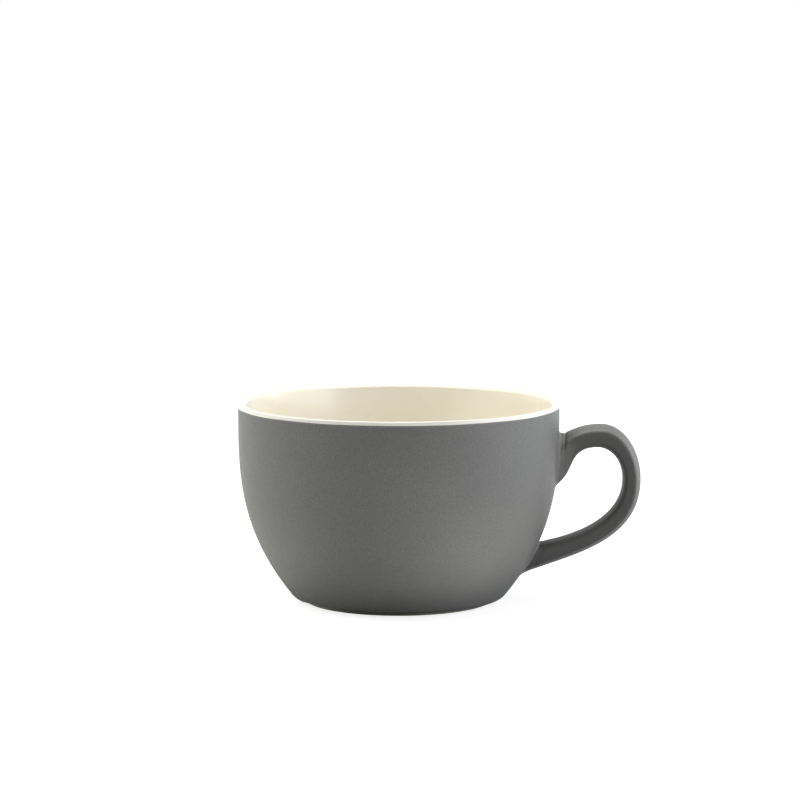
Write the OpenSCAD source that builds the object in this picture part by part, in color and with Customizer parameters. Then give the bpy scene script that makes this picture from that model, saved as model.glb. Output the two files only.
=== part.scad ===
// Stoneware cup with a ring handle, matte grey outside and gloss cream inside.
// The origin is the centre of the foot ring on the table, +Z is up and the handle points along +X.

/* [Bowl] */
// Outside diameter of the finished rim
rim_d = 98; // [88:1:108]
// Overall height above the table
cup_h = 61; // [54:1:70]
// Diameter of the foot where the grey glaze stops
foot_d = 58; // [50:1:66]
// Clay thickness of the wall from its middle down
wall_t = 3.6; // [2.6:0.1:4.4]
// Clay thickness at the lip
lip_t = 1.6; // [1.2:0.1:2.4]
// Height of the rounded lip
lip_h = 1; // [0.7:0.1:1.6]
// Clay thickness at the middle of the floor
floor_t = 4.2; // [3:0.2:5.6]

/* [Foot] */
// Width of the unglazed ring that the cup stands on
foot_w = 3; // [2.2:0.2:4.6]
// Height of the wiped band that stays bare above the table
bare_h = 0.8; // [0.5:0.1:1.2]
// Depth of the glazed hollow inside the foot ring
recess_h = 1.8; // [1.2:0.1:2.6]
// Rise of the hollow towards its middle
recess_dome = 0.4; // [0.2:0.1:0.8]
// Distance that the heel of the bowl stands out beyond the foot
heel_out = 4; // [3:0.1:5.6]
// Height where the heel starts to turn under
heel_h = 2.4; // [1.8:0.1:3.2]

/* [Glaze] */
// Thickness of every coat of glaze
glaze_t = 0.4; // [0.25:0.05:0.5]

/* [Handle] */
// Distance that the handle stands out beyond the rim
handle_out = 25; // [20:0.5:30]
// Width of the handle at the grip
handle_w = 11.6; // [9:0.2:14]
// Extra width of the handle at each root
root_flare_w = 1.2; // [0:0.2:2]
// Thickness of the handle at its highest point
crest_t = 7; // [5:0.2:7.6]
// Thickness of the handle at its furthest point
grip_t = 5.6; // [4.6:0.2:7]
// Rise of the crowned outer face between its shoulders
crown_h = 1.5; // [0.8:0.1:2]
// Fullness of the inner face between its edges
belly_h = 0.6; // [0.2:0.1:1]
// Depth of the highest point of the handle below the rim
crest_drop = 6.8; // [5.6:0.2:9]
// Depth of the top of the upper root below the rim
upper_root_drop = 9.6; // [7.6:0.1:12]
// Length of the upper root along the wall
upper_root_len = 16; // [12:0.2:17]
// Height of the underside of the lower root above the table
lower_root_h = 7.7; // [6:0.1:10]
// Height of the lower root along the wall
lower_root_len = 9.7; // [8:0.1:12]

/* [Joints] */
// Thickness of the clay slip that joins the handle to the bowl
slip_t = 0.9; // [0.6:0.1:1.2]
// Reach of the rounded bead of slip beyond the handle
bead_w = 1; // [0.6:0.1:1.4]

/* [Hidden] */
$fn = 180;

// Colours of the fired clay and of the three glazes
clay_colour = [0.80, 0.77, 0.70];
slip_colour = [0.70, 0.68, 0.62];
grey_colour = [0.42, 0.43, 0.41];
cream_colour = [0.93, 0.91, 0.83];

// Steps along the wall, the short curves, the lip and the foot
wall_steps = 26;
bend_steps = 10;
lip_steps = 12;

// Outline of the bowl: arms of its curve as shares of the height, and its slope at the heel in degrees
rim_arm_share = 0.295;
belly_arm_share = 0.44;
heel_slope = 39;
// How far down the wall the clay reaches its full thickness, and where the inside turns to the floor
full_wall_share = 0.5;
inside_turn_share = 0.85;
floor_flat_share = 0.72;
// Rounding of the foot ring, run of the hollow's side, and where its glaze starts
foot_edge = 0.8;
recess_run = 3;
recess_coat_share = 0.4;

rim_r = rim_d / 2;
foot_r = foot_d / 2;
land_r = foot_r - foot_w;
lip_w = lip_t + 2 * glaze_t;
lip_z = cup_h - lip_h;
heel_r = foot_r + heel_out;
recess_z = recess_h + glaze_t;
floor_z = recess_z + recess_dome + floor_t;

// Cubic curve with the control points p, its heading, and a point beside it, d to the left
function curve(p, t) = pow(1 - t, 3) * p[0] + 3 * pow(1 - t, 2) * t * p[1]
    + 3 * (1 - t) * pow(t, 2) * p[2] + pow(t, 3) * p[3];
function heading(p, t) = let (v = pow(1 - t, 2) * (p[1] - p[0]) + 2 * (1 - t) * t * (p[2] - p[1])
    + pow(t, 2) * (p[3] - p[2])) v / norm(v);
function beside(p, t, d) = let (h = heading(p, t)) curve(p, t) + d * [-h[1], h[0]];
// Control points of a single bend from a to b that turns at c
function bend(a, c, b) = [a, (a + 2 * c) / 3, (b + 2 * c) / 3, b];
// Evenly spaced shares from 0 to 1, and the same order backwards
function shares(n) = [for (i = [0:n]) i / n];
function back(list) = [for (i = [len(list) - 1:-1:0]) list[i]];
// From 0 to 1, fast at first, and a smooth step from 0 to 1
function fill_out(s) = let (u = min(1, s)) u * (2 - u);
function ease(s) = let (u = max(0, min(1, s))) u * u * (3 - 2 * u);

// Outer face of the finished bowl, from the lip down to the heel and under it to the foot
wall_line = [
    [rim_r, lip_z],
    [rim_r, lip_z - rim_arm_share * cup_h],
    [heel_r, heel_h] + belly_arm_share * cup_h * [sin(heel_slope), cos(heel_slope)],
    [heel_r, heel_h]];
heel_line = bend([heel_r, heel_h], [heel_r - (heel_h - bare_h) * tan(heel_slope), bare_h], [foot_r, bare_h]);
// Clay of the foot ring, and the hollow inside it
foot_line = bend([foot_r, bare_h + glaze_t], [foot_r, 0], [foot_r - foot_edge, 0]);
recess_line = [
    [land_r, 0],
    [land_r - foot_edge, 0],
    [land_r - foot_edge, recess_z],
    [land_r - recess_run, recess_z]];

// Clay thickness at share t of the wall, and the inner face at that share, moved in by d
function clay_t(t) = lip_t + (wall_t - lip_t) * fill_out(t / full_wall_share);
function inside_at(t, d) = beside(wall_line, t, -glaze_t - clay_t(t) - d);
// Corner between the inner face and the floor
turn_start = inside_at(inside_turn_share, 0);
turn_way = heading(wall_line, inside_turn_share);
turn_corner = turn_start + turn_way * (turn_start[1] - floor_z) / -turn_way[1];
turn_line = bend(turn_start, turn_corner, [turn_corner[0] * floor_flat_share, floor_z]);

// Faces of the bowl as lists of points, each moved d beyond the finished outer face or the clay
function outer_face(d) = concat(
    [for (t = shares(wall_steps)) beside(wall_line, t, d)],
    [for (t = shares(bend_steps)) if (t > 0) beside(heel_line, t, d)]);
function inner_face(d) = concat(
    [for (t = shares(wall_steps)) inside_at(t * inside_turn_share, d)],
    [for (t = shares(bend_steps)) if (t > 0) beside(turn_line, t, -d)],
    [[0, floor_z + d]]);
function lip_face(half_w, h) = [for (s = shares(lip_steps))
    [rim_r - lip_w / 2 + half_w * cos(180 * s), lip_z + h * sin(180 * s)]];
function foot_face() = concat(
    [for (t = shares(bend_steps)) if (t > 0) curve(foot_line, t)],
    [for (t = shares(bend_steps)) curve(recess_line, t)],
    [[0, recess_z + recess_dome]]);
function recess_shares() = [for (s = shares(bend_steps)) recess_coat_share + s * (1 - recess_coat_share)];

// Radius of the clay at height z, and its slope there
clay_radii = [for (p = outer_face(-glaze_t)) [p[1], p[0]]];
function clay_r(z) = lookup(z, clay_radii);
function clay_slope(z) = atan((clay_r(z + slip_t) - clay_r(z - slip_t)) / (2 * slip_t));

// Everything inside the clay's outer face, moved out by d
module inside_of_clay(d) {
    face = outer_face(d - glaze_t);
    rotate_extrude()
        polygon(concat([[0, face[0][1]]], face, [[0, face[len(face) - 1][1]]]));
}

// Handle: where its finished outer and inner edges meet the clay, seen from the side
upper_out_z = cup_h - upper_root_drop;
upper_in_z = upper_out_z - upper_root_len;
lower_out_z = lower_root_h;
lower_in_z = lower_root_h + lower_root_len;
reach_r = rim_r + handle_out;
crest_z = cup_h - crest_drop;
// Place of the furthest point between the lower root and the crest
reach_z_share = 0.635;
reach_z = lower_out_z + reach_z_share * (crest_z - lower_out_z);
// Place of the crest between the rim and the furthest point, on the outer and the inner edge
crest_out_share = 0.51;
crest_in_share = 0.47;
// Control arms as shares of the width and height between the ends of each curve
rise_out_shares = [0.27, -0.19, 0.62];
rise_in_shares = [0.525, 0.31, 0.76];
over_out_shares = [0.59, 0.515];
over_in_shares = [0.385, 0.695];
under_out_shares = [0.71, 0.365];
under_in_shares = [0.785, 0.14];
// Slope of each edge where it runs into the lower root, in degrees
low_out_slope = 24;
low_in_slope = 12;

function on_clay(z) = [clay_r(z), z];
// Three curves from the upper root over the crest and round the furthest point to the lower root
function rise(a, b, s) = [a, a + [s[0] * (b[0] - a[0]), s[1] * (b[1] - a[1])], b - [s[2] * (b[0] - a[0]), 0], b];
function over(a, b, s) = [a, a + [s[0] * (b[0] - a[0]), 0], b + [0, s[1] * (a[1] - b[1])], b];
function under(a, b, s, slope) = [a, a - [0, s[0] * (a[1] - b[1])],
    b + s[1] * (a[0] - b[0]) * [cos(slope), sin(slope)], b];
crest_out = [rim_r + crest_out_share * handle_out, crest_z];
crest_in = [rim_r + crest_in_share * handle_out, crest_z - crest_t];
reach_out = [reach_r, reach_z];
reach_in = [reach_r - grip_t, reach_z];
edge_out = [
    rise(on_clay(upper_out_z), crest_out, rise_out_shares),
    over(crest_out, reach_out, over_out_shares),
    under(reach_out, on_clay(lower_out_z), under_out_shares, low_out_slope)];
edge_in = [
    rise(on_clay(upper_in_z), crest_in, rise_in_shares),
    over(crest_in, reach_in, over_in_shares),
    under(reach_in, on_clay(lower_in_z), under_in_shares, low_in_slope)];

// Rings along the handle: curve number and share, with closer rings near the upper root
run_steps = [12, 9, 15];
crowding_power = 1.3;
ring_places = concat(
    [for (i = [0:run_steps[0] - 1]) [0, pow(i / run_steps[0], crowding_power)]],
    [for (i = [0:run_steps[1] - 1]) [1, i / run_steps[1]]],
    [for (i = [0:run_steps[2]]) [2, i / run_steps[2]]]);
side_steps = 32;
// Depth that a root runs on into the clay, as a multiple of the slip
root_sink = 3 * slip_t;
// Roundness of the section, and how much its inner face narrows
section_power = 4.5;
section_taper_share = 0.1;

// Half the width of the handle on curve c at share t, wider towards both roots
function half_w(c, t) = handle_w / 2 + root_flare_w / 2 * (c == 0 ? ease(1 - t) : c == 2 ? ease(2 * t - 1) : 0);
function rounded(v) = sign(v) * pow(abs(v), 2 / section_power);
// Point of the section at the angle a: a rounded box with a crowned outer and a full inner face
function section_at(a, w, depth) = let (
    h = (depth - crown_h - belly_h) / 2,
    x = rounded(cos(a)),
    up = rounded(sin(a)),
    fill = 1 - x * x,
    z = h * up + (up > 0 ? crown_h * fill : -belly_h * fill),
    narrow = 1 - section_taper_share * (1 - up) / 2)
    [w * x * narrow, z + (belly_h - crown_h) / 2];
// Ring between the outer point o and the inner point i, grown by g all round
function ring(o, i, w, g) = let (
    mid = (o + i) / 2,
    out = (o - i) / norm(o - i),
    depth = norm(o - i) + 2 * g)
    [for (k = [0:side_steps - 1]) let (
        p = section_at(360 * k / side_steps, w + g, depth),
        q = mid + p[1] * out) [q[0], p[0], q[1]]];
// Direction into the clay at height z
function into(z) = let (s = clay_slope(z)) [-cos(s), sin(s)];
// Ring at the root of curve c, moved d into the clay and grown by g all round
function sunk_ring(c, d, g) = let (
    t = c == 0 ? 0 : 1,
    o = curve(edge_out[c], t),
    i = curve(edge_in[c], t),
    way = d * into((o[1] + i[1]) / 2))
    ring(o + way, i + way, half_w(c, t), g);
function handle_rings(g) = concat(
    [sunk_ring(0, root_sink, g)],
    [for (p = ring_places) ring(curve(edge_out[p[0]], p[1]), curve(edge_in[p[0]], p[1]), half_w(p[0], p[1]), g)],
    [sunk_ring(2, root_sink, g)]);

// Solid through a list of rings, closed at both ends
module tube(rings) {
    n = len(rings[0]);
    last = len(rings) - 1;
    sides = [for (j = [0:last - 1], k = [0:n - 1]) let (a = j * n + k, b = j * n + (k + 1) % n)
        each [[a, b + n, b], [a, a + n, b + n]]];
    polyhedron(
        points = [for (r = rings) each r],
        faces = concat(sides, [[for (k = [0:n - 1]) k]], [[for (k = [n - 1:-1:0]) last * n + k]]));
}

// Skin between two lists of rings, open along the middle
module sleeve(outer, inner) {
    n = len(outer[0]);
    last = len(outer) - 1;
    core = n * len(outer);
    sides = [for (j = [0:last - 1], k = [0:n - 1]) let (a = j * n + k, b = j * n + (k + 1) % n)
        each [[a, b + n, b], [a, a + n, b + n],
              [core + a, core + b, core + b + n], [core + a, core + b + n, core + a + n]]];
    ends = [for (k = [0:n - 1]) let (a = k, b = (k + 1) % n, e = last * n)
        each [[a, b, core + b], [a, core + b, core + a],
              [e + a, core + e + b, e + b], [e + a, core + e + a, core + e + b]]];
    polyhedron(points = concat([for (r = outer) each r], [for (r = inner) each r]), faces = concat(sides, ends));
}

// Body of the slip bead round the root of curve c: rings from inside the clay out past the slip.
// The bead is widest on the clay and narrows to the handle at the slip's outer face.
bead_steps = 8;
function bead_ring(c, d) = sunk_ring(c, d, bead_w * pow(1 - max(0, min(1, -d / slip_t)), 2));
module bead(c) {
    rings = [for (s = shares(bead_steps)) bead_ring(c, root_sink - s * (root_sink + 2 * slip_t))];
    tube(c == 0 ? rings : back(rings));
}
module slip_joint(c) {
    difference() {
        intersection() {
            bead(c);
            inside_of_clay(slip_t);
        }
        inside_of_clay(0);
    }
}

// Fired clay bowl with its foot ring
module bowl() {
    color(clay_colour)
        rotate_extrude()
            polygon(concat(
                outer_face(-glaze_t),
                foot_face(),
                back(inner_face(0)),
                [for (p = back(lip_face(lip_t / 2, lip_h - glaze_t))) if (p[1] > lip_z) p]));
}

// Solid clay handle, cast by itself
module handle() {
    color(clay_colour)
        difference() {
            tube(handle_rings(-glaze_t));
            inside_of_clay(slip_t);
        }
}

module upper_slip_joint() {
    color(slip_colour) slip_joint(0);
}

module lower_slip_joint() {
    color(slip_colour) slip_joint(2);
}

// Gloss coat over the whole inside and over the lip
module liner_glaze() {
    color(cream_colour)
        rotate_extrude()
            polygon(concat(
                lip_face(lip_w / 2, lip_h),
                inner_face(glaze_t),
                back(inner_face(0)),
                back(lip_face(lip_t / 2, lip_h - glaze_t))));
}

// Matte coat on the outside of the bowl, down to the bare foot
module outer_glaze() {
    color(grey_colour)
        difference() {
            rotate_extrude()
                polygon(concat(outer_face(0), back(outer_face(-glaze_t))));
            bead(0);
            bead(2);
        }
}

// Matte coat round the handle
module handle_glaze() {
    color(grey_colour)
        difference() {
            sleeve(handle_rings(0), handle_rings(-glaze_t));
            inside_of_clay(slip_t);
        }
}

// Matte coat in the hollow inside the foot ring
module underside_glaze() {
    color(grey_colour)
        rotate_extrude()
            polygon(concat(
                [for (t = recess_shares()) curve(recess_line, t)],
                [[0, recess_z + recess_dome], [0, recess_z + recess_dome - glaze_t]],
                back([for (t = recess_shares()) beside(recess_line, t, glaze_t)])));
}

bowl();
handle();
upper_slip_joint();
lower_slip_joint();
liner_glaze();
outer_glaze();
handle_glaze();
underside_glaze();
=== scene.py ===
import math

import bmesh
import bpy
import numpy as np
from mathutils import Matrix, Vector, noise


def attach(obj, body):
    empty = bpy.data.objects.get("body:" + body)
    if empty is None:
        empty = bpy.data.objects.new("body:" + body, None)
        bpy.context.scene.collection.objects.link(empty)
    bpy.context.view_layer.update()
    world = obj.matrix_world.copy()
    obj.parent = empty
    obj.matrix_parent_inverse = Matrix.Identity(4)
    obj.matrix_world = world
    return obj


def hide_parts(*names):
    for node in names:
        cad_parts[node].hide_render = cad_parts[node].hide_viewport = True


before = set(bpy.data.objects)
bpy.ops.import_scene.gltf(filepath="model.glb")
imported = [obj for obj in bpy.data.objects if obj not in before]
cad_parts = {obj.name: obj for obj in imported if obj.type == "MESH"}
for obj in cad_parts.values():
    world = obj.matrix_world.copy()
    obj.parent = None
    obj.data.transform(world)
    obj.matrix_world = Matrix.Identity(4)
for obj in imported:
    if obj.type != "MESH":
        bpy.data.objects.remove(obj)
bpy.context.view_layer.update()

MM = 0.001

# Sizes of the cup in millimetres, as in the solid model
RIM_R = 49.0
CUP_H = 61.0
FOOT_R = 29.0
WALL_T = 3.6
LIP_T = 1.6
LIP_H = 1.0
FLOOR_T = 4.2
FOOT_W = 3.0
BARE_H = 0.8
RECESS_H = 1.8
RECESS_DOME = 0.4
HEEL_OUT = 4.0
HEEL_H = 2.4
GLAZE_T = 0.4
HANDLE_OUT = 25.0
HANDLE_W = 11.6
ROOT_FLARE_W = 1.2
CREST_T = 7.0
GRIP_T = 5.6
CROWN_H = 1.5
BELLY_H = 0.6
CREST_DROP = 6.8
UPPER_ROOT_DROP = 9.6
UPPER_ROOT_LEN = 16.0
LOWER_ROOT_H = 7.7
LOWER_ROOT_LEN = 9.7
SLIP_T = 0.9

# Shares and slopes that shape the curves, as in the solid model
RIM_ARM, BELLY_ARM, HEEL_SLOPE = 0.295, 0.44, math.radians(39)
FULL_WALL, INSIDE_TURN, FLOOR_FLAT = 0.5, 0.85, 0.72
FOOT_EDGE, RECESS_RUN, RECESS_COAT = 0.8, 3.0, 0.4
REACH_Z, CREST_OUT, CREST_IN = 0.635, 0.51, 0.47
RISE_OUT, RISE_IN = (0.27, -0.19, 0.62), (0.525, 0.31, 0.76)
OVER_OUT, OVER_IN = (0.59, 0.515), (0.385, 0.695)
UNDER_OUT, UNDER_IN = (0.71, 0.365), (0.785, 0.14)
LOW_OUT, LOW_IN = math.radians(24), math.radians(12)
SECTION_TAPER = 0.1

# Derived sizes
LIP_W = LIP_T + 2 * GLAZE_T
LIP_Z = CUP_H - LIP_H
HEEL_R = FOOT_R + HEEL_OUT
LAND_R = FOOT_R - FOOT_W
RECESS_Z = RECESS_H + GLAZE_T
FLOOR_Z = RECESS_Z + RECESS_DOME + FLOOR_T
ROOT_SINK = 3 * SLIP_T
SLIP_SHOWS = SLIP_T - GLAZE_T

# Steps of the meshes
SEGMENTS = 288          # round the cup
SIDES = 96              # round the handle's section
WALL_STEPS, HEEL_STEPS = 72, 16
INNER_STEPS, TURN_STEPS = 60, 26
LIP_STEPS, FOOT_STEPS, RECESS_STEPS = 18, 16, 19
CLAY_WALL_STEPS, CLAY_HEEL_STEPS = 40, 10       # fewer on the clay, which the coats hide
CLAY_TURN_STEPS, CLAY_LIP_STEPS = 16, 8
LAND_SHARES = (0.66, 0.33)      # places of the points across the flat land of the foot ring
SMOOTH_BELOW = math.radians(38)

# Bowl and coats, detail that only the looks need, in millimetres where nothing else is said
LIP_LEAN = 0.55         # how far the top of the lip lies outside its middle
PALE_DROP, PALE_IN, PALE_RUN = 0.6, 0.75, 0.5   # pale line over the lip: how deep, where it starts, its blend
PALE_LEAST = 0.25       # share of the pale tone on the inner side of the lip
COAT_EDGE_Z = 59.84     # where the grey coat stops under the lip
COAT_EDGE_DROP = 0.04   # least distance of that line from the lip's half round
COAT_WANDER = 0.12      # how far that line strays
LIP_BREAK_Z, LIP_BREAK_H = 59.3, 0.45           # where the grey thins below that line
FOOT_BREAK_H = 0.55     # how far up it thins above the wiped edge at the foot
FOOT_WANDER = 0.16      # how far the wiped edge strays
FOOT_BLEND = 12         # number of points of the outline that stray with it
ROLLED_END = ((0.16, 0.05), (0.22, 0.16))       # points of its rolled end, onwards and inwards
WIPED_AT = math.radians(217)    # the side where the foot was wiped higher, up the heel
WIPED_WIDE = math.radians(19)
WIPED_UP = 0.8          # share of the heel's curve left bare there
FOOT_WORN = 0.05        # wear of the bare clay round the foot
CREEP = 0.14            # how far the edge of the coat in the hollow strays
HOLLOW_BREAK_Z, HOLLOW_BREAK_H = 1.1, 0.5       # where that coat thins towards its edge

# Handle, detail that only the looks need
SECTION_POWER = 5.5     # a little crisper at the shoulders than the solid model
FILLET_R = 1.0          # hollow rounding where the handle meets the wall
CREASE_AT = 1.9         # distance of the faint crease round each root from the wall
CREASE_DEEP, CREASE_WIDE = 0.08, 0.45
NOTCH_DEEP, NOTCH_WIDE = 0.27, 0.34             # the notch in the crease of the upper root
NOTCH_FROM, NOTCH_BLEND = -0.1, 0.7             # where on the section it starts, and its blend
SHOULDER, SHOULDER_WIDE = 0.93, (0.10, 0.12)    # where the glaze thins on the section, as shares; the paler line there is partly a painted highlight along the ridge
LOWER_CORNER = 0.55     # how much it thins on the lower corners
SIDE_FROM, SIDE_BLEND = 0.56, 0.24              # where the painted shade of the sides starts
SHADE_FADE_Z, SHADE_FADE_H = 34, 5                # height where the painted side shade starts to give way at the upper root, which the bowl's wall lights
SHADE_FADE_FROM, SHADE_FADE_RUN = 0.5, 5.5        # how far out from the wall it goes
NOTCH_SHADE_SIDE, NOTCH_SHADE_BLEND = 0.7, 0.2                # painted shade in the notch: how far to the sides,
NOTCH_SHADE_NEARER, NOTCH_SHADE_LONG = 0.3, 0.8               # how much nearer to the wall than the crease,
NOTCH_SHADE_DOWN, NOTCH_SHADE_TALL = 3.1, 1.4                 # and how far below the top of the ring
SLIP_THIN, SLIP_PALE, SLIP_PALE_RUN = 0.25, 0.5, 0.3    # thinned glaze on the slip, more beside the wall

# Distances of the rings from the wall, and where the handle's own rings take over
SLIP_RINGS = (-0.38, -0.2, -0.06, 0.0, 0.03, 0.07, 0.12, 0.19, 0.28, 0.38, 0.46, SLIP_SHOWS)
COAT_RINGS = (SLIP_SHOWS, 0.56, 0.66, 0.8, 1.0, 1.2, 1.4, 1.55, 1.7, 1.85, 2.0, 2.15, 2.35, 2.6, 2.9)
HANDLE_END = 3          # place of the lower root along the handle, where the upper root is at 0
SUNK_TO, ALONG_TO = -0.9, 0.95                  # stretch of the handle on which a root's rings are found
SUNK_STEPS, ALONG_STEPS = 30, 189
MERGE_AT = 0.72
UPPER_MERGE_STEPS, LOWER_MERGE_STEPS, ARM_RINGS = 14, 22, 120


# Curves

def curve(p, t):
    """Points of the cubic curve with control points p at the shares t."""
    t = np.asarray(t, float)[..., None]
    p = np.asarray(p, float)
    return (1 - t) ** 3 * p[0] + 3 * (1 - t) ** 2 * t * p[1] + 3 * (1 - t) * t ** 2 * p[2] + t ** 3 * p[3]


def beside(p, t, d):
    """Points d to the left of the curve."""
    s = np.asarray(t, float)[..., None]
    q = np.asarray(p, float)
    v = (1 - s) ** 2 * (q[1] - q[0]) + 2 * (1 - s) * s * (q[2] - q[1]) + s ** 2 * (q[3] - q[2])
    v = v / np.linalg.norm(v, axis=-1, keepdims=True)
    return curve(p, t) + np.asarray(d, float)[..., None] * np.stack([-v[..., 1], v[..., 0]], -1)


def bend(a, c, b):
    """Control points of a single bend from a to b that turns at c."""
    a, c, b = (np.asarray(x, float) for x in (a, c, b))
    return [a, (a + 2 * c) / 3, (b + 2 * c) / 3, b]


def ease(s):
    """Smooth rise from 0 to 1 while s goes from 0 to 1."""
    u = np.clip(s, 0, 1)
    return u * u * (3 - 2 * u)


def stray(theta, seed, scale):
    """Slow irregular wander round the cup, about -1 to 1, with a finer one of half its strength on it."""
    finer, strength = 2.7, 0.5
    p = Vector((math.cos(theta) * scale, math.sin(theta) * scale, seed))
    return noise.noise(p) + strength * noise.noise(p * finer)


# Outlines of the bowl

WALL_LINE = [
    np.array([RIM_R, LIP_Z]),
    np.array([RIM_R, LIP_Z - RIM_ARM * CUP_H]),
    np.array([HEEL_R, HEEL_H]) + BELLY_ARM * CUP_H * np.array([math.sin(HEEL_SLOPE), math.cos(HEEL_SLOPE)]),
    np.array([HEEL_R, HEEL_H])]
HEEL_TURN_R = HEEL_R - (HEEL_H - BARE_H) * math.tan(HEEL_SLOPE)
HEEL_LINE = bend([HEEL_R, HEEL_H], [HEEL_TURN_R, BARE_H], [FOOT_R, BARE_H])
FOOT_LINE = bend([FOOT_R, BARE_H + GLAZE_T], [FOOT_R, 0], [FOOT_R - FOOT_EDGE, 0])
RECESS_LINE = [
    np.array([LAND_R, 0.0]),
    np.array([LAND_R - FOOT_EDGE, 0.0]),
    np.array([LAND_R - FOOT_EDGE, RECESS_Z]),
    np.array([LAND_R - RECESS_RUN, RECESS_Z])]


def inside_at(t, d):
    """Inner face of the clay wall at share t of its height, moved in by d."""
    t = np.asarray(t, float)
    u = np.clip(t / FULL_WALL, 0, 1)
    thick = LIP_T + (WALL_T - LIP_T) * u * (2 - u)
    return beside(WALL_LINE, t, -GLAZE_T - thick - d)


def turn_line():
    """Bend between the inner face and the floor."""
    step = 0.001
    start = inside_at([INSIDE_TURN], 0)[0]
    ahead = start - inside_at([INSIDE_TURN - step], 0)[0]
    corner = start + ahead * (start[1] - FLOOR_Z) / -ahead[1]
    return bend(start, corner, [corner[0] * FLOOR_FLAT, FLOOR_Z])


TURN_LINE = turn_line()


def outer_face(d, wall_steps=WALL_STEPS, heel_steps=HEEL_STEPS):
    """Outer face from the lip down to the foot, moved out by d."""
    return np.concatenate([
        beside(WALL_LINE, np.linspace(0, 1, wall_steps + 1), d),
        beside(HEEL_LINE, np.linspace(0, 1, heel_steps + 1)[1:], d)])


def inner_face(d, wall_steps=INNER_STEPS, turn_steps=TURN_STEPS):
    """Inner face from the lip down to the middle of the floor, moved in by d."""
    return np.concatenate([
        inside_at(np.linspace(0, INSIDE_TURN, wall_steps + 1), d),
        beside(TURN_LINE, np.linspace(0, 1, turn_steps + 1)[1:], -d),
        [[TURN_LINE[3][0] / 2, FLOOR_Z + d], [0, FLOOR_Z + d]]])


def lip_face(half_w, h, steps=LIP_STEPS):
    """Half round over the lip, from outside to inside, highest a little outside its middle."""
    a = np.linspace(0, math.pi, steps + 1)
    r = RIM_R - LIP_W / 2 + half_w * np.cos(a) + LIP_LEAN * np.sin(a) ** 2
    return np.stack([r, LIP_Z + h * np.sin(a)], -1)


# Mesh making

def new_piece(name, verts, faces, thin=None, thick=None):
    """A smooth mesh object from points in millimetres, with each point's share of thin glaze, partly a
    painted highlight on the handle's shoulders, and its share of painted shade, kept as thick.
    """
    mesh = bpy.data.meshes.new(name)
    mesh.from_pydata([tuple(v * MM) for v in np.asarray(verts, float)], [], faces)
    mesh.update()
    obj = bpy.data.objects.new(name, mesh)
    bpy.context.scene.collection.objects.link(obj)
    for key, values in (("thin", thin), ("thick", thick)):
        share = mesh.attributes.new(key, "FLOAT", "POINT")
        values = np.zeros(len(verts)) if values is None else np.asarray(values, float)
        share.data.foreach_set("value", values.astype(np.float32))
    mesh.polygons.foreach_set("use_smooth", [True] * len(mesh.polygons))
    mesh.set_sharp_from_angle(angle=SMOOTH_BELOW)
    face_outwards(mesh)
    return obj


def face_outwards(mesh):
    """Turns all faces outwards."""
    bm = bmesh.new()
    bm.from_mesh(mesh)
    bmesh.ops.recalc_face_normals(bm, faces=bm.faces)
    bm.to_mesh(mesh)
    bm.free()


def turned_faces(m, closed):
    """Quads between each outline of m points and the next one round the axis."""
    faces = []
    for i in range(SEGMENTS):
        j = (i + 1) % SEGMENTS
        for k in range(m if closed else m - 1):
            after = (k + 1) % m
            faces.append((i * m + k, i * m + after, j * m + after, j * m + k))
    return faces


def cap_faces(tip, m, row, flip):
    """Triangles from the point tip on the axis to the same row of every outline."""
    tris = [(tip, i * m + row, (i + 1) % SEGMENTS * m + row) for i in range(SEGMENTS)]
    return [tri[::-1] for tri in tris] if flip else tris


def lathe(name, outline_at, closed, thin_at):
    """Turns an outline round the axis. outline_at(angle) gives its points as rows of (radius, height).
    A closed outline makes a ring, and an open one starts and ends on the axis. thin_at(radius, height, angle)
    gives the share of thinned glaze."""
    angles = [2 * math.pi * i / SEGMENTS for i in range(SEGMENTS)]
    outlines = [outline_at(a) for a in angles]
    ends = outlines[0][0][1], outlines[0][-1][1]
    verts, thin = [], []
    for a, line in zip(angles, outlines):
        for r, z in line if closed else line[1:-1]:
            verts.append((r * math.cos(a), r * math.sin(a), z))
            thin.append(thin_at(r, z, a))
    m = len(verts) // SEGMENTS
    faces = turned_faces(m, closed)
    if not closed:
        for z, row, flip in ((ends[0], 0, False), (ends[1], m - 1, True)):
            faces += cap_faces(len(verts), m, row, flip)
            verts.append((0, 0, z))
            thin.append(0.0)
    return new_piece(name, np.array(verts), faces, thin)


def grid_faces(rows, n, base=0, flip=False):
    """Quads between consecutive closed rows of n points."""
    out = []
    for j in range(rows - 1):
        for k in range(n):
            a, b = base + j * n + k, base + j * n + (k + 1) % n
            quad = (a, b, b + n, a + n)
            out.append(quad[::-1] if flip else quad)
    return out


# Bowl and its coats

def make_bowl():
    """Fired clay, seen only where the foot is wiped bare."""
    shares = np.linspace(0, 1, FOOT_STEPS + 1)
    recess = curve(RECESS_LINE, shares)[::-1]
    land = [[FOOT_R - FOOT_EDGE - s * (FOOT_W - FOOT_EDGE), 0] for s in LAND_SHARES]
    foot = curve(FOOT_LINE, shares[1:])
    bulge = np.sin(np.linspace(0, np.pi, len(foot)))
    outer = outer_face(-GLAZE_T, CLAY_WALL_STEPS, CLAY_HEEL_STEPS)[::-1]
    lip = lip_face(LIP_T / 2, LIP_H - GLAZE_T, CLAY_LIP_STEPS)[1:-1]
    inner = inner_face(0, CLAY_WALL_STEPS, CLAY_TURN_STEPS)

    def outline(theta):
        worn = FOOT_WORN * stray(theta, seed=3.1, scale=6)
        edge = foot + np.stack([worn * bulge, np.zeros(len(foot))], -1)
        return np.concatenate([[[0, RECESS_Z + RECESS_DOME]], recess, land, edge[::-1], outer, lip, inner])
    return lathe("bowl_clay", outline, closed=False, thin_at=lambda r, z, theta: 0.0)


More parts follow.
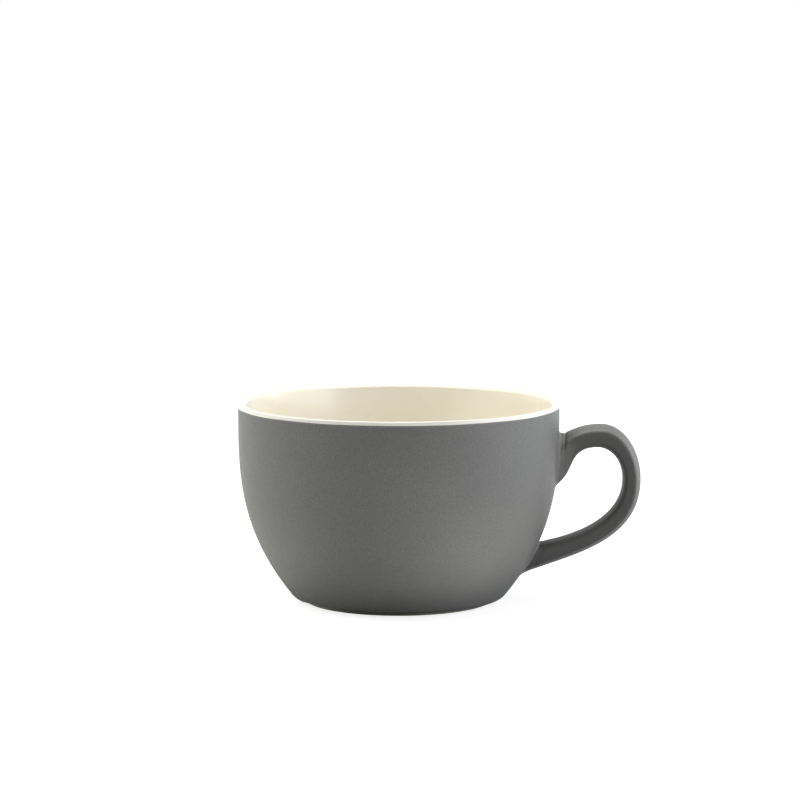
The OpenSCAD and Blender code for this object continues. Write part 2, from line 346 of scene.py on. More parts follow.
def make_liner():
    """Gloss coat over the whole inside and over the lip, down to the grey coat's edge."""
    inner, under = inner_face(GLAZE_T)[::-1], inner_face(0)
    lip = lip_face(LIP_W / 2, LIP_H)[::-1]
    seat = lip_face(LIP_T / 2, LIP_H - GLAZE_T)

    def outline(theta):
        over, below = (beside(WALL_LINE, [coat_edge(theta)], d) for d in (0, -GLAZE_T))
        return np.concatenate([inner, lip[1:], over, below, seat[:-1], under])
    return lathe("liner_coat", outline, closed=False, thin_at=liner_thin)


def liner_thin(r, z, theta):
    """The cream coat thins over the lip, mostly on its outer side."""
    if z <= LIP_Z - PALE_DROP:
        return 0.0
    return PALE_LEAST + (1 - PALE_LEAST) * float(ease((r - RIM_R + PALE_IN) / PALE_RUN))


def coat_edge(theta):
    """Share of the wall's outline where the grey coat stops, a little below the lip's half round."""
    z = COAT_EDGE_Z + COAT_WANDER * stray(theta, seed=0.4, scale=2.6)
    return max(COAT_EDGE_DROP, LIP_Z - z) / (3 * RIM_ARM * CUP_H)


def make_outer_coat():
    """Matte coat outside the bowl, with a soft rolled edge at the foot."""
    low = np.linspace(0, 1, FOOT_BLEND) ** 2
    down = np.arange(1, WALL_STEPS + 1) / WALL_STEPS

    def face_at(theta, d):
        """One face of the coat, from its edge under the lip to its wiped edge at the foot."""
        wall = beside(WALL_LINE, np.concatenate([[coat_edge(theta)], down]), d)
        heel = beside(HEEL_LINE, np.linspace(0, wiped_edge(theta), HEEL_STEPS + 1)[1:], d)
        face = np.concatenate([wall, heel])
        face[-FOOT_BLEND:, 0] += low * FOOT_WANDER * stray(theta, seed=7.7, scale=5.0)
        return face

    def outline(theta):
        face, back_face = face_at(theta, 0), face_at(theta, -GLAZE_T)
        way = face[-1] - face[-2]
        way = way / np.linalg.norm(way)
        inwards = np.array([way[1], -way[0]])
        rolled = [face[-1] + on * way + off * inwards for on, off in ROLLED_END]
        return np.concatenate([face, rolled, back_face[::-1]])
    return lathe("outer_coat", outline, closed=True, thin_at=outer_thin)


def wiped_edge(theta):
    """Share of the heel's curve that the grey coat covers."""
    off = (theta - WIPED_AT + math.pi) % (2 * math.pi) - math.pi
    return 1 - WIPED_UP * math.exp(-(off / WIPED_WIDE) ** 4)


def outer_thin(r, z, theta):
    """The grey coat thins at the lip and where it was wiped at the foot."""
    edge = BARE_H + (HEEL_H - BARE_H) * (1 - wiped_edge(theta)) ** 2
    return float(max(ease((z - LIP_BREAK_Z) / LIP_BREAK_H), ease((edge + FOOT_BREAK_H - z) / FOOT_BREAK_H)))


def make_underside_coat():
    """Matte coat in the hollow inside the foot ring."""
    t = np.linspace(RECESS_COAT, 1, RECESS_STEPS + 1)
    seat = curve(RECESS_LINE, t)
    face = beside(RECESS_LINE, t, GLAZE_T)
    middle_z = RECESS_Z + RECESS_DOME

    def outline(theta):
        creep = CREEP * stray(theta, seed=11.3, scale=4.0) * np.linspace(1, 0, len(t)) ** 3
        shift = np.stack([np.zeros(len(t)), creep], -1)
        return np.concatenate([[[0, middle_z - GLAZE_T]], (face + shift)[::-1], seat, [[0, middle_z]]])
    return lathe("underside_coat", outline, closed=False, thin_at=underside_thin)


def underside_thin(r, z, theta):
    """The coat in the hollow thins towards its edge on the foot ring."""
    return float(ease((HOLLOW_BREAK_Z - z) / HOLLOW_BREAK_H))


# Handle

OUTER_RADII = outer_face(0)[::-1]
CLAY_RADII = outer_face(-GLAZE_T)[::-1]


def wall_r(z):
    """Radius of the finished outside of the bowl at the height z."""
    return np.interp(z, OUTER_RADII[:, 1], OUTER_RADII[:, 0])


def clay_r(z):
    """Radius of the bowl's clay at the height z."""
    return float(np.interp(z, CLAY_RADII[:, 1], CLAY_RADII[:, 0]))


def wall_slope(z):
    """Lean of the bowl's clay at the height z, as an angle from upright."""
    return math.atan((clay_r(z + SLIP_T) - clay_r(z - SLIP_T)) / (2 * SLIP_T))


def above_wall(p):
    """Distance of points from the finished outside of the bowl."""
    step = 0.2
    lean = (wall_r(p[..., 2] + step) - wall_r(p[..., 2] - step)) / (2 * step)
    return (np.hypot(p[..., 0], p[..., 1]) - wall_r(p[..., 2])) / np.sqrt(1 + lean * lean)


def edge_line(z0, z1, crest, reach, rise, over, under, slope):
    """Three curves of one edge: wall at z0 to the crest, on to the furthest point, and to the wall at z1."""
    a, b = np.array([clay_r(z0), z0]), np.array([clay_r(z1), z1])
    crest, reach = np.array(crest), np.array(reach)
    up, on = crest - a, reach - crest
    way = np.array([math.cos(slope), math.sin(slope)])
    return [
        [a, a + np.array([rise[0] * up[0], rise[1] * up[1]]), crest - np.array([rise[2] * up[0], 0]), crest],
        [crest, crest + np.array([over[0] * on[0], 0]), reach - np.array([0, over[1] * on[1]]), reach],
        [reach, reach - np.array([0, under[0] * (reach[1] - b[1])]),
         b + under[1] * (reach[0] - b[0]) * way, b]]


def edge_lines():
    """The outer and the inner edge of the handle, from the upper to the lower root."""
    crest_z = CUP_H - CREST_DROP
    reach_z = LOWER_ROOT_H + REACH_Z * (crest_z - LOWER_ROOT_H)
    top = CUP_H - UPPER_ROOT_DROP
    outer = edge_line(
        top, LOWER_ROOT_H,
        (RIM_R + CREST_OUT * HANDLE_OUT, crest_z), (RIM_R + HANDLE_OUT, reach_z),
        RISE_OUT, OVER_OUT, UNDER_OUT, LOW_OUT)
    inner = edge_line(
        top - UPPER_ROOT_LEN, LOWER_ROOT_H + LOWER_ROOT_LEN,
        (RIM_R + CREST_IN * HANDLE_OUT, crest_z - CREST_T), (RIM_R + HANDLE_OUT - GRIP_T, reach_z),
        RISE_IN, OVER_IN, UNDER_IN, LOW_IN)
    return outer, inner


EDGE_OUT, EDGE_IN = edge_lines()


def rounded(v):
    """Cosine or sine pushed outwards, which turns a circle into a rounded box."""
    return np.sign(v) * np.abs(v) ** (2 / SECTION_POWER)


def section(angles, w, depth):
    """Points (across, out) of the section: a rounded box with a crowned outer and a full inner face."""
    h = (depth - CROWN_H - BELLY_H) / 2
    x, up = rounded(np.cos(angles)), rounded(np.sin(angles))
    fill = 1 - x * x
    z = h * up + np.where(up > 0, CROWN_H * fill, -BELLY_H * fill)
    narrow = 1 - SECTION_TAPER * (1 - up) / 2
    return w * x * narrow, z + (BELLY_H - CROWN_H) / 2


def section_angles():
    """Angles that space the points of the section evenly, a little closer where it turns."""
    usual_depth, turn_weight, most_turn = 6.0, 0.5, 0.2
    fine = np.linspace(0, 2 * math.pi, 20001)
    x, z = section(fine, HANDLE_W / 2, usual_depth)
    step = np.hypot(np.diff(x), np.diff(z))
    heading = np.unwrap(np.arctan2(np.diff(z), np.diff(x)))
    turn = np.abs(np.gradient(heading))
    run = np.concatenate([[0], np.cumsum(step + turn_weight * np.minimum(turn, most_turn))])
    return np.interp(np.arange(SIDES) / SIDES * run[-1], run, fine)


ANGLES = section_angles()


def section_edge():
    """1 on the two shoulders of the crowned face and less on the lower corners, for the thinned glaze, which
    is partly a painted highlight along the ridges.
    """
    x, up = np.abs(rounded(np.cos(ANGLES))), rounded(np.sin(ANGLES))
    across = np.exp(-((x - SHOULDER) / SHOULDER_WIDE[0]) ** 2)
    along = np.exp(-((np.abs(up) - SHOULDER) / SHOULDER_WIDE[1]) ** 2)
    return across * along * np.where(up > 0, 1.0, LOWER_CORNER)


def section_side_shade():
    """1 on the flat sides and the inner face, where the shade is painted, and 0 on the crowned face."""
    return 1 - ease((np.sin(ANGLES) - SIDE_FROM) / SIDE_BLEND)


def away_from_upper_root(points):
    """1 over the handle, falling to 0 at its upper root, where the bowl's wall lights it and the painted side
    shade gives way.
    """
    high = ease((points[:, 2] - SHADE_FADE_Z) / SHADE_FADE_H)
    return 1 - high * (1 - ease((above_wall(points) - SHADE_FADE_FROM) / SHADE_FADE_RUN))


def notch_shade(points, d):
    """Painted shade in the notch of the upper root, on both sides just under the shoulders."""
    below = points[:, 2].max() - points[:, 2]
    side = np.abs(points[:, 1])
    sideways = ease((side / side.max() - NOTCH_SHADE_SIDE) / NOTCH_SHADE_BLEND)
    along = np.exp(-((d - CREASE_AT + NOTCH_SHADE_NEARER) / NOTCH_SHADE_LONG) ** 2)
    return sideways * along * np.exp(-((below - NOTCH_SHADE_DOWN) / NOTCH_SHADE_TALL) ** 2)


def place(s):
    """Curve number and share on it at the place s along the handle, from 0 to HANDLE_END."""
    c = int(min(HANDLE_END - 1, max(0, math.floor(s))))
    return c, min(1.0, max(0.0, s - c))


def flare(c, t):
    """Share of the extra width, 1 at each root and 0 along the arm."""
    if c == 0:
        return float(ease(1 - t))
    return float(ease(2 * t - 1)) if c == HANDLE_END - 1 else 0.0


def ring(s, g):
    """Points round the handle at the place s, grown by g. Past either end the ring runs on into the wall."""
    c, t = place(s)
    o, i = curve(EDGE_OUT[c], t), curve(EDGE_IN[c], t)
    sunk = max(-s, s - HANDLE_END, 0.0)
    if sunk:
        a = wall_slope((o[1] + i[1]) / 2)
        way = sunk * ROOT_SINK * np.array([-math.cos(a), math.sin(a)])
        o, i = o + way, i + way
    mid, span = (o + i) / 2, np.linalg.norm(o - i)
    out = (o - i) / span
    x, z = section(ANGLES, HANDLE_W / 2 + ROOT_FLARE_W / 2 * flare(c, t) + g, span + 2 * g)
    return np.stack([mid[0] + z * out[0], x, mid[1] + z * out[1]], -1)


def fillet(d):
    """Growth that makes a hollow rounding at the distance d above the wall."""
    u = max(0.0, min(FILLET_R, FILLET_R - d))
    return FILLET_R - math.sqrt(FILLET_R ** 2 - u * u)


def crease(d):
    """Faint crease round the collar where the arm leaves the slip."""
    return -CREASE_DEEP * math.exp(-((d - CREASE_AT) / CREASE_WIDE) ** 2)


def notch(points, d):
    """Deepens the crease over the crowned face and its shoulders into a small notch."""
    crown = ease((np.sin(ANGLES) - NOTCH_FROM) / NOTCH_BLEND)
    deep = NOTCH_DEEP * math.exp(-((d - CREASE_AT) / NOTCH_WIDE) ** 2) * crown
    way = points.mean(0) - points
    return points + way * (deep / np.linalg.norm(way, axis=1))[:, None]


class Root:
    """Rings that keep an even distance from the wall at one root, for the slip and the start of the coat."""

    def __init__(self, base, sign):
        self.base = base    # place of this root along the handle
        self.sign = sign    # 1 where the handle runs on to higher places, and -1 where it runs back
        sunk = np.linspace(SUNK_TO, 0, SUNK_STEPS + 1)[:-1]
        self.s = np.concatenate([sunk, np.linspace(0, ALONG_TO, ALONG_STEPS + 1)])
        self.cache = {}

    def lines(self, g):
        """Plain rings grown by g at all places from inside the wall to well along the handle."""
        key = round(g, 6)
        if key not in self.cache:
            self.cache[key] = np.array([ring(self.base + self.sign * s, g) for s in self.s])
        return self.cache[key]

    def at(self, d, g):
        """For every point of the section, its place s where it stands d above the wall when grown by g."""
        high = above_wall(self.lines(g))
        j = np.maximum(1, np.argmax(high >= d, axis=0))
        k = np.arange(SIDES)
        a, b = high[j - 1, k], high[j, k]
        f = np.clip((d - a) / np.where(b == a, 1, b - a), 0, 1)
        return self.s[j - 1] + f * (self.s[j] - self.s[j - 1])

    def points(self, s, g):
        """Points of the lines grown by g, each at its own place."""
        lines = self.lines(g)
        out = np.empty((SIDES, 3))
        for k in range(SIDES):
            for axis in range(3):
                out[k, axis] = np.interp(s[k], self.s, lines[:, k, axis])
        return out

    def ring_at(self, d, extra=0.0):
        """Ring that stands d above the wall all round."""
        g = fillet(d) + crease(d) + extra
        points = self.points(self.at(d, g), g)
        return notch(points, d) if self.base == 0 else points

    def merge(self, d, steps, extra):
        """Rings from the one that stands d above the wall to the plain ring at MERGE_AT."""
        start = self.at(d, fillet(d) + crease(d) + extra)
        out = []
        for u in np.linspace(0, 1, steps + 1)[1:]:
            g = (fillet(d) + crease(d)) * (1 - u) ** 2 + extra
            out.append(self.points(start + (MERGE_AT - start) * u, g))
        return out


def coat_rings(upper, lower, extra):
    """All rings of the handle's coat from the upper to the lower root."""
    rings = [upper.ring_at(d, extra) for d in COAT_RINGS]
    rings += upper.merge(COAT_RINGS[-1], UPPER_MERGE_STEPS, extra)
    rings += [ring(s, extra) for s in np.linspace(MERGE_AT, HANDLE_END - MERGE_AT, ARM_RINGS)[1:-1]]
    rings += lower.merge(COAT_RINGS[-1], LOWER_MERGE_STEPS, extra)[::-1]
    rings += [lower.ring_at(d, extra) for d in COAT_RINGS[::-1]]
    return rings


def coat_shade(verts, rows):
    """Share of painted shade on every point of the sleeve: on the flat sides and inner face, and in the notch
    of the upper root.
    """
    thick = np.tile(section_side_shade(), 2 * rows) * away_from_upper_root(verts)
    for row, d in enumerate(COAT_RINGS):
        part = slice(row * SIDES, (row + 1) * SIDES)
        thick[part] = np.maximum(thick[part], notch_shade(verts[part], d))
    return thick


def make_handle_coat(upper, lower):
    """Matte coat round the handle, a sleeve from slip to slip."""
    outer, inner = coat_rings(upper, lower, 0.0), coat_rings(upper, lower, -GLAZE_T)
    rows = len(outer)
    verts = np.concatenate(outer + inner)
    base, last = rows * SIDES, (rows - 1) * SIDES
    faces = grid_faces(rows, SIDES) + grid_faces(rows, SIDES, base, flip=True)
    for k in range(SIDES):
        after = (k + 1) % SIDES
        faces.append((after, k, base + k, base + after))
        faces.append((last + k, last + after, base + last + after, base + last + k))
    return new_piece("handle_coat", verts, faces, np.tile(section_edge(), 2 * rows), coat_shade(verts, rows))


def make_slip(name, root):
    """Slip between the wall and one root, hollowed out towards the wall."""
    rings = [root.ring_at(d) for d in SLIP_RINGS]
    verts = np.concatenate(rings + [[r.mean(0)] for r in (rings[0], rings[-1])])
    faces = grid_faces(len(rings), SIDES)
    low, high = len(verts) - 2, len(verts) - 1
    last = (len(rings) - 1) * SIDES
    for k in range(SIDES):
        after = (k + 1) % SIDES
        faces.append((low, after, k))
        faces.append((high, last + k, last + after))
    thin = [SLIP_THIN + SLIP_PALE * float(ease(1 - abs(d) / SLIP_PALE_RUN)) for d in SLIP_RINGS]
    return new_piece(name, verts, faces, np.concatenate([np.repeat(thin, SIDES), [0, 0]]))


# Materials

class Nodes:
    """Short way to build a node material."""

    def __init__(self, name):
        self.material = bpy.data.materials.new(name)
        self.material.use_nodes = True
        self.tree = self.material.node_tree
        self.tree.nodes.clear()
        self.out = self.tree.nodes.new("ShaderNodeOutputMaterial")

    def add(self, kind, **values):
        node = self.tree.nodes.new("ShaderNode" + kind)
        for key, value in values.items():
            setattr(node, key, value)
        return node

    def link(self, a, b):
        self.tree.links.new(a, b)

    def put(self, socket, value):
        """Links a socket to another one, or sets its constant."""
        if hasattr(value, "is_linked"):
            self.link(value, socket)
        else:
            socket.default_value = value

    def position(self):
        return self.add("TexCoord").outputs["Object"]

    def noise(self, where, size_mm, detail, rough=0.5):
        """Noise whose features are about size_mm across, from 0 to 1."""
        node = self.add("TexNoise")
        node.inputs["Scale"].default_value = 1 / (size_mm * MM)
        node.inputs["Detail"].default_value = detail
        node.inputs["Roughness"].default_value = rough
        self.link(where, node.inputs["Vector"])
        return node.outputs["Fac"]

    def cells(self, where, apart_mm):
        """Distance to the nearest of scattered points about apart_mm apart, in that unit."""
        node = self.add("TexVoronoi")
        node.inputs["Scale"].default_value = 1 / (apart_mm * MM)
        node.inputs["Randomness"].default_value = 1.0
        self.link(where, node.inputs["Vector"])
        return node.outputs["Distance"]

    def dots(self, where, apart_mm, core, rim, patch_mm, few, many):
        """1 on round dots from core to rim in size, in patches about patch_mm across, and 0 between them."""
        dot = self.span(self.cells(where, apart_mm), core, rim, 1, 0, smooth=True)
        return self.math("MULTIPLY", dot, self.span(self.noise(where, patch_mm, 1), few, many))

    def span(self, value, low, high, to_low=0.0, to_high=1.0, smooth=False):
        """Maps low to high onto to_low to to_high, held at both ends."""
        node = self.add("MapRange")
        node.interpolation_type = "SMOOTHSTEP" if smooth else "LINEAR"
        self.link(value, node.inputs["Value"])
        for name, v in (("From Min", low), ("From Max", high), ("To Min", to_low), ("To Max", to_high)):
            node.inputs[name].default_value = v
        return node.outputs["Result"]

    def math(self, op, a, b, clamp=False):
        node = self.add("Math", operation=op, use_clamp=clamp)
        self.put(node.inputs[0], a)
        self.put(node.inputs[1], b)
        return node.outputs[0]

    def blend(self, factor, a, b):
        """Colour a, turning into colour b as the factor rises to 1.
        The node's colours are its inputs 6 and 7 and its output 2."""
        node = self.add("Mix", data_type="RGBA", blend_type="MIX")
        self.put(node.inputs[0], factor)
        self.put(node.inputs[6], a)
        self.put(node.inputs[7], b)
        return node.outputs[2]

    def cover(self, tone, mask, share, colour):
        """The tone, with a share of the colour over it where the mask is 1."""
        return self.blend(self.math("MULTIPLY", mask, share), tone, colour)

    def attribute(self, name):
        return self.add("Attribute", attribute_name=name).outputs["Fac"]

    def bump(self, height, depth_mm, strength, below=None):
        node = self.add("Bump")
        node.inputs["Distance"].default_value = depth_mm * MM
        node.inputs["Strength"].default_value = strength
        self.link(height, node.inputs["Height"])
        if below is not None:
            self.link(below, node.inputs["Normal"])
        return node.outputs["Normal"]

    def shader(self, color, rough, normal, **constants):
        node = self.add("BsdfPrincipled")
        self.put(node.inputs["Base Color"], color)
        self.put(node.inputs["Roughness"], rough)
        self.link(normal, node.inputs["Normal"])
        for key, value in constants.items():
            node.inputs[key.replace("_", " ")].default_value = value
        self.link(node.outputs["BSDF"], self.out.inputs["Surface"])
        return self.material

    def away(self, where, x_mm, y_mm):
        """Distance from the point (x, y) on the floor."""
        shift = self.add("VectorMath", operation="SUBTRACT")
        self.link(where, shift.inputs[0])
        shift.inputs[1].default_value = (x_mm * MM, y_mm * MM, 0)
        length = self.add("VectorMath", operation="LENGTH")
        self.link(shift.outputs[0], length.inputs[0])
        return length.outputs["Value"]

    def lit(self, albedo, strength):
        """A diffuse face with a glow of its own."""
        face = self.add("BsdfDiffuse")
        face.inputs["Color"].default_value = (albedo, albedo, albedo, 1)
        glow = self.add("Emission")
        glow.inputs["Color"].default_value = (1, 1, 1, 1)
        self.link(strength, glow.inputs["Strength"])
        both = self.add("AddShader")
        self.link(face.outputs[0], both.inputs[0])
        self.link(glow.outputs[0], both.inputs[1])
        return both.outputs[0]

    def choose(self, factor, a, b):
        """Face a where the factor is 0, and face b where it is 1."""
        mix = self.add("MixShader")
        self.link(factor, mix.inputs[0])
        self.link(a, mix.inputs[1])
        self.link(b, mix.inputs[2])
        return mix.outputs[0]


# Base colour of the grey glaze, and its tones as gains on that
GREY = (0.122, 0.124, 0.117)
GREY_DARK, GREY_PALE = (0.90, 0.905, 0.915), (1.09, 1.085, 1.07)
GREY_MOTTLE = (1.12, 1.12, 1.10)
GRAIN_DARK, GRAIN_PALE = (0.78, 0.79, 0.80), (1.22, 1.22, 1.20)
IRON = (0.42, 0.40, 0.38)
# painted shade on the handle's flat sides and inner face and in the notch of its upper root
GREY_SHADED = (0.39, 0.39, 0.39)
# Where it thins, the clay shows through; on the handle's shoulders this paler tone is partly a painted
# highlight
GREY_BREAK = (0.30, 0.29, 0.265, 1)
COAT_BREAK, SLIP_BREAK = 0.35, 0.30
SLIP_GAIN = 1.06        # the slip under the glaze makes it a little paler

CREAM_DARK, CREAM_PALE = (0.815, 0.765, 0.64, 1), (0.84, 0.80, 0.69, 1)
CREAM_CLOUD = (0.855, 0.815, 0.705, 1)
CREAM_SPECK = (0.42, 0.32, 0.20, 1)
CREAM_LIP = (0.785, 0.77, 0.735, 1)

CLAY_DARK, CLAY_PALE = (0.47, 0.42, 0.33, 1), (0.60, 0.555, 0.455, 1)
CLAY_SAND = (0.70, 0.65, 0.55, 1)
GROG = (0.24, 0.19, 0.14, 1)
CLAY_DIRT = (0.36, 0.32, 0.26, 1)
CLAY_DIRT_H = 0.22 * MM     # height of the dirt on the standing edge


def grey_glaze(name, base, break_share):
    """Matte grey glaze: slow drift of tone, fine mottle and grain, iron specks, and painted shade where the
    thick share is set.
    """
    def gained(gains):
        return tuple(v * gain for v, gain in zip(base, gains)) + (1,)

    n = Nodes(name)
    at = n.position()
    drift = n.noise(at, size_mm=26, detail=2)
    mottle = n.noise(at, size_mm=2.2, detail=4, rough=0.6)
    grain = n.noise(at, size_mm=0.5, detail=3, rough=0.65)
    specks = n.dots(at, apart_mm=1.9, core=0.045, rim=0.11, patch_mm=3.1, few=0.5, many=0.62)
    thin = n.math("MULTIPLY", n.attribute("thin"), n.span(mottle, 0.3, 0.62, 0.55, 1.0), clamp=True)

    tone = n.blend(n.span(drift, 0.3, 0.7), gained(GREY_DARK), gained(GREY_PALE))
    tone = n.blend(n.span(mottle, 0.34, 0.68, 0.0, 0.55), tone, gained(GREY_MOTTLE))
    tone = n.blend(n.span(grain, 0.46, 0.66, 0.0, 0.7), tone, gained(GRAIN_DARK))
    tone = n.blend(n.span(grain, 0.44, 0.28, 0.0, 0.55), tone, gained(GRAIN_PALE))
    tone = n.cover(tone, specks, 0.42, gained(IRON))
    # painted shade, darker where the thick share is: the handle's flat sides, inner face and the notch of its
    # upper root
    tone = n.cover(tone, n.attribute("thick"), 0.92, gained(GREY_SHADED))
    # paler where the glaze thins, on the handle's shoulders partly a painted highlight
    tone = n.cover(tone, thin, break_share, GREY_BREAK)

    rough = n.span(mottle, 0.25, 0.75, 0.47, 0.57)
    rough = n.math("ADD", rough, n.span(grain, 0.3, 0.7, -0.03, 0.03))
    rough = n.math("SUBTRACT", rough, n.math("MULTIPLY", thin, 0.06), clamp=True)
    peel = n.bump(n.noise(at, size_mm=1.3, detail=2, rough=0.45), depth_mm=0.016, strength=0.7)
    normal = n.bump(grain, depth_mm=0.010, strength=0.8, below=peel)
    return n.shader(tone, rough, normal, IOR=1.5, Specular_IOR_Level=0.42)


def cream_glaze():
    """Gloss cream glaze: warm drift, faint specks, and a less yellow break over the lip."""
    n = Nodes("cream_gloss_glaze")
    at = n.position()
    drift = n.noise(at, size_mm=30, detail=2)
    cloud = n.noise(at, size_mm=5.5, detail=3, rough=0.55)
    specks = n.dots(at, apart_mm=3.4, core=0.02, rim=0.055, patch_mm=5.0, few=0.52, many=0.64)

    tone = n.blend(n.span(drift, 0.3, 0.7), CREAM_DARK, CREAM_PALE)
    tone = n.blend(n.span(cloud, 0.35, 0.7, 0.0, 0.5), tone, CREAM_CLOUD)
    tone = n.cover(tone, specks, 0.4, CREAM_SPECK)
    tone = n.cover(tone, n.attribute("thin"), 0.6, CREAM_LIP)

    rough = n.math("ADD", n.span(cloud, 0.3, 0.7, 0.11, 0.17), n.math("MULTIPLY", specks, 0.1))
    swell = n.bump(n.noise(at, size_mm=7.0, detail=1, rough=0.4), depth_mm=0.03, strength=0.5)
    normal = n.bump(n.noise(at, size_mm=1.1, detail=2), depth_mm=0.004, strength=0.6, below=swell)
    return n.shader(tone, rough, normal, IOR=1.5, Specular_IOR_Level=0.5)


def fired_clay():
    """Bare stoneware: sandy grain, small dark grog and a slightly polished, dirtier standing edge."""
    n = Nodes("fired_clay")
    at = n.position()
    drift = n.noise(at, size_mm=11, detail=3)
    grain = n.noise(at, size_mm=0.42, detail=4, rough=0.7)
    grog = n.dots(at, apart_mm=0.9, core=0.07, rim=0.16, patch_mm=1.7, few=0.48, many=0.6)
    split = n.add("SeparateXYZ")
    n.link(at, split.inputs[0])
    dirt = n.span(split.outputs["Z"], CLAY_DIRT_H, 0.0, smooth=True)

    tone = n.blend(n.span(drift, 0.3, 0.7), CLAY_DARK, CLAY_PALE)
    tone = n.blend(n.span(grain, 0.42, 0.72, 0, 0.6), tone, CLAY_SAND)
    tone = n.cover(tone, grog, 0.6, GROG)
    tone = n.cover(tone, dirt, 0.35, CLAY_DIRT)

    rough = n.math("SUBTRACT", n.span(grain, 0.3, 0.7, 0.78, 0.92), n.math("MULTIPLY", dirt, 0.2))
    normal = n.bump(grain, depth_mm=0.05, strength=0.8)
    return n.shader(tone, rough, normal, IOR=1.45, Specular_IOR_Level=0.35)


# Studio

# Glow of the floor: near and far distance in mm and the strength at each, for the camera and for reflections
SEEN = (120, 340, 0.82, 1.0)
MIRRORED = (60, 300, 0.0, 1.0)
# Pools of light on the floor, at the left, right and middle in front of the cup: x and y in mm and strength
POOLS = ((-68, -24, 2.75), (45, -62, 2.7), (0, -75, 0.35))
POOL_CORE, POOL_R = 13, 38
# Share of light that the floor throws back to the cup, to reflections and to the camera
BOUNCE_SHARE, MIRRORED_SHARE, SEEN_SHARE = 0.80, 0.60, 0.42
FLOOR_REACH = 6.0       # half of the floor's side in metres
FLOOR_GAP = 0.03        # keeps the floor clear of the foot's flat land
CAMERA_X, CAMERA_BACK, CAMERA_H = 0.37, 1000.0, 182.6
CAMERA_DOWN = math.radians(6.902)
FOCAL_SHARE = 3302 / 800    # focal length as a share of the picture's width
SENSOR = 36.0
CLIP = (0.05, 50)       # nearest and furthest distance in metres
# name: middle in mm, width and height in mm, watts, colour; each lamp faces the cup
LAMPS = {
    "left_box": ((-450, 0, 566), 480, 560, 3.4, (1.0, 1.0, 0.965)),
    "left_low_box": ((-611, 0, 252), 1000, 640, 1.05, (1.0, 1.0, 0.98)),
    "right_box": ((611, 0, 252), 1000, 640, 4.9, (0.965, 0.98, 1.04)),
    "right_front_box": ((510, -295, 305), 450, 450, 0.4, (0.98, 0.99, 1.02)),
    "top_box": ((0, 49, 728), 560, 560, 3.4, (1.0, 1.0, 0.98)),
}
LAMP_AIM = (0, 0, 30)


def floor_material():
    """Pale floor: white to the camera with a soft shadow, and pools of light that bounce up to the cup."""
    n = Nodes("pale_floor")
    paths = n.add("LightPath")
    at = n.position()

    def glow_from(x, y, near, far, low, high):
        """Strength that goes from low to high while the distance from (x, y) goes from near to far."""
        return n.span(n.away(at, x, y), near * MM, far * MM, low, high, smooth=True)

    left, right, middle = (glow_from(x, y, POOL_CORE, POOL_R, glow, 0.0) for x, y, glow in POOLS)
    bounce = n.lit(BOUNCE_SHARE, n.math("ADD", n.math("ADD", left, right), middle))
    mirrored = n.lit(MIRRORED_SHARE, glow_from(0, 0, *MIRRORED))
    seen = n.lit(SEEN_SHARE, glow_from(0, 0, *SEEN))
    direct = n.math("MAXIMUM", paths.outputs["Is Camera Ray"], paths.outputs["Is Transmission Ray"])
    indirect = n.choose(paths.outputs["Is Glossy Ray"], bounce, mirrored)
    n.link(n.choose(direct, indirect, seen), n.out.inputs["Surface"])
    return n.material


def make_floor():
    corners = ((-1, -1), (1, -1), (1, 1), (-1, 1))
    verts = [(x * FLOOR_REACH, y * FLOOR_REACH, -FLOOR_GAP * MM) for x, y in corners]
    mesh = bpy.data.meshes.new("floor")
    mesh.from_pydata(verts, [], [(0, 1, 2, 3)])
    mesh.materials.append(floor_material())
    obj = bpy.data.objects.new("floor", mesh)
    bpy.context.scene.collection.objects.link(obj)


def make_world():
    """White room where it is seen or mirrored. It gives no light of its own."""
    world = bpy.data.worlds.new("studio")
    bpy.context.scene.world = world
    world.use_nodes = True
    tree = world.node_tree
    tree.nodes.clear()
    out = tree.nodes.new("ShaderNodeOutputWorld")
    paths = tree.nodes.new("ShaderNodeLightPath")
    seen = paths.outputs["Is Camera Ray"]
    for kind in ("Is Glossy Ray", "Is Transmission Ray"):
        either = tree.nodes.new("ShaderNodeMath")
        either.operation = "MAXIMUM"
        tree.links.new(seen, either.inputs[0])
        tree.links.new(paths.outputs[kind], either.inputs[1])
        seen = either.outputs[0]
    white = tree.nodes.new("ShaderNodeBackground")
    white.inputs["Color"].default_value = (1, 1, 1, 1)
    white.inputs["Strength"].default_value = 1.0
    mix = tree.nodes.new("ShaderNodeMixShader")
    tree.links.new(seen, mix.inputs[0])
    tree.links.new(white.outputs[0], mix.inputs[2])
    tree.links.new(mix.outputs[0], out.inputs["Surface"])


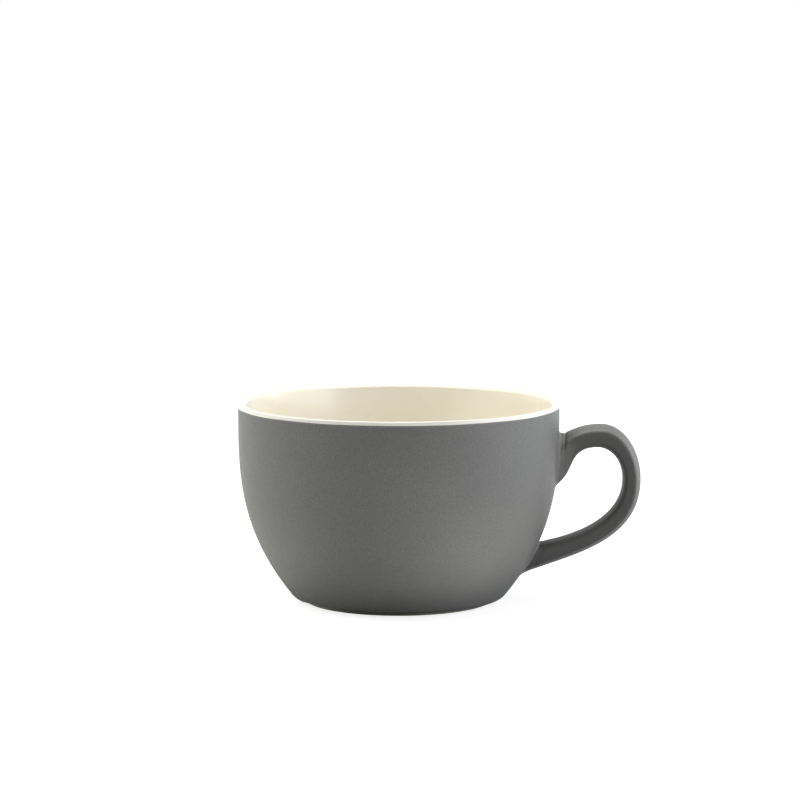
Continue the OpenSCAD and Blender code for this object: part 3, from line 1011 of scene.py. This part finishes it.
def make_lamps():
    for name, (middle, width, height, watts, colour) in LAMPS.items():
        lamp = bpy.data.lights.new(name, "AREA")
        lamp.shape = "RECTANGLE"
        lamp.size, lamp.size_y = width * MM, height * MM
        lamp.energy = watts
        lamp.color = colour
        obj = bpy.data.objects.new(name, lamp)
        obj.location = Vector(middle) * MM
        obj.rotation_euler = (Vector(LAMP_AIM) - Vector(middle)).to_track_quat("-Z", "Y").to_euler()
        bpy.context.scene.collection.objects.link(obj)


def make_camera():
    cam = bpy.data.cameras.new("camera")
    cam.sensor_width = SENSOR
    cam.lens = FOCAL_SHARE * SENSOR
    cam.clip_start, cam.clip_end = CLIP
    obj = bpy.data.objects.new("camera", cam)
    obj.location = Vector((CAMERA_X, -CAMERA_BACK, CAMERA_H)) * MM
    obj.rotation_euler = (math.pi / 2 - CAMERA_DOWN, 0, 0)
    bpy.context.scene.collection.objects.link(obj)
    bpy.context.scene.camera = obj


# Scene

def dress(obj, material, slot, *nodes):
    """Gives a piece its material and body, and puts it in the place of the solid nodes. Its slot is not used.
    """
    obj.data.materials.append(material)
    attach(obj, "root")
    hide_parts(*nodes)


coat = grey_glaze("grey_matte_glaze", GREY, COAT_BREAK)
slip = grey_glaze("joint_slip", tuple(SLIP_GAIN * v for v in GREY), SLIP_BREAK)
cream = cream_glaze()
clay = fired_clay()

upper_root, lower_root = Root(0, 1), Root(HANDLE_END, -1)
dress(make_bowl(), clay, "fired_clay", "bowl")
dress(make_liner(), cream, "cream_gloss_glaze", "liner_glaze")
dress(make_outer_coat(), coat, "grey_matte_glaze", "outer_glaze")
dress(make_underside_coat(), coat, "grey_matte_glaze", "underside_glaze")
dress(make_handle_coat(upper_root, lower_root), coat, "grey_matte_glaze", "handle_glaze")
dress(make_slip("upper_slip", upper_root), slip, "joint_slip", "upper_slip_joint")
dress(make_slip("lower_slip", lower_root), slip, "joint_slip", "lower_slip_joint")

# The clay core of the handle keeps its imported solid, under the glaze
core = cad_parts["handle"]
for core_slot in core.material_slots:
    core_slot.material = clay

make_floor()
make_world()
make_lamps()
make_camera()
bpy.context.scene.view_settings.view_transform = "Standard"
